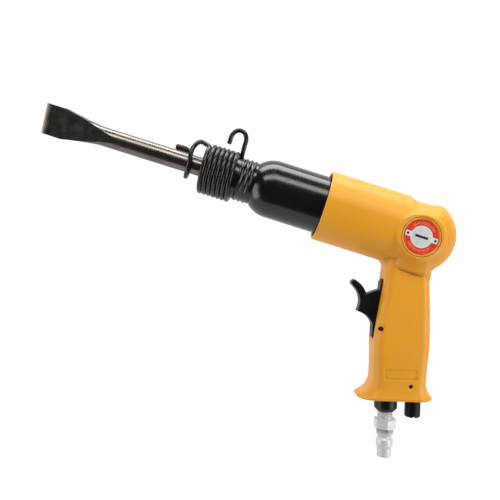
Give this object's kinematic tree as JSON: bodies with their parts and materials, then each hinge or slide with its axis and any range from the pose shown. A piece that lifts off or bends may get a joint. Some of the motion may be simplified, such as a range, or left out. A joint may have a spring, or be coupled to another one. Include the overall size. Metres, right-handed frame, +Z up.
{
  "type": "pneumatic air hammer",
  "caption": "Pistol-grip pneumatic air hammer with a raised barrel, screw-on spring retainer, flat chisel, guarded trigger, air regulator knob and quick-coupler air plug.",
  "frame": {"origin": "centre of the air plug's open end, on the plug's axis", "axes": "+X to the rear of the tool, +Z up along the air plug's axis; the barrel lies in the XZ plane and points forward, 15.5 degrees above -X"},
  "size_m": [0.2922, 0.0494, 0.2383],
  "materials": {
    "painted_housing": "yellow-orange gloss paint on a die casting",
    "black_steel": "blackened turned steel, satin",
    "forged_steel": "dark oxide with ground marks",
    "spring_wire": "black spring wire, satin",
    "ground_steel": "ground steel",
    "black_trigger": "black moulded, fine grain",
    "brass_bushing": "turned brass",
    "seal_rubber": "matt rubber",
    "black_knob": "black satin",
    "black_bush": "blackened turned steel",
    "plated_plug": "bright nickel plate",
    "badge_enamel": "enamelled disc with plain rings"
  },
  "bodies": {
    "housing_body": {"handle_housing": "painted_housing", "barrel": "black_steel", "retainer_spring": "spring_wire", "valve_chest": "ground_steel", "valve_cap": "ground_steel", "valve_dowels": "ground_steel", "clamp_washer": "spring_wire", "trigger_pin": "black_steel", "throttle_bushing": "brass_bushing", "throttle_bushing_seal": "seal_rubber", "throttle_spring": "ground_steel", "regulator_pin": "black_steel", "inlet_bush": "black_bush", "inlet_bush_seal": "seal_rubber", "inlet_screen": "ground_steel", "air_plug": "plated_plug", "badge_left": "badge_enamel", "badge_right": "badge_enamel", "badge_rivets": "black_steel"},
    "piston": {"piston": "ground_steel"},
    "chisel": {"chisel": "forged_steel"},
    "shuttle_valve": {"shuttle_valve": "ground_steel"},
    "trigger": {"trigger": "black_trigger"},
    "throttle": {"throttle_valve": "ground_steel", "throttle_seal": "seal_rubber"},
    "regulator": {"regulator": "black_knob", "regulator_seal": "seal_rubber"}
  },
  "joints": [
    {"name": "trigger_pull", "type": "hinge", "parent": "housing_body", "child": "trigger", "pos_m": [-0.0076, 0, 0.0902], "axis": [0, 1, 0], "range_deg": [0, 8], "stiffness_Nm_per_rad": 1.2, "springref_deg": -14.32},
    {"name": "throttle_slide", "type": "slide", "parent": "housing_body", "child": "throttle", "axis": [1, 0, 0], "range_m": [0, 0.0029], "deforming": ["throttle_spring"]},
    {"name": "regulator_turn", "type": "hinge", "parent": "housing_body", "child": "regulator", "pos_m": [0.0189, 0, 0.04], "axis": [0, 0, 1], "continuous": true},
    {"name": "piston_stroke", "type": "slide", "parent": "housing_body", "child": "piston", "axis": [-0.9636, 0, 0.2672], "range_m": [0, 0.0412]},
    {"name": "shuttle_slide", "type": "slide", "parent": "housing_body", "child": "shuttle_valve", "axis": [-0.9636, 0, 0.2672], "range_m": [0, 0.0012]},
    {"name": "chisel_slide", "type": "slide", "parent": "housing_body", "child": "chisel", "axis": [-0.9636, 0, 0.2672], "range_m": [0, 0.0085]}
  ],
  "couplings": [
    {"joint": "throttle_slide", "follows": "trigger_pull", "m_per_rad": 0.0198}
  ]
}
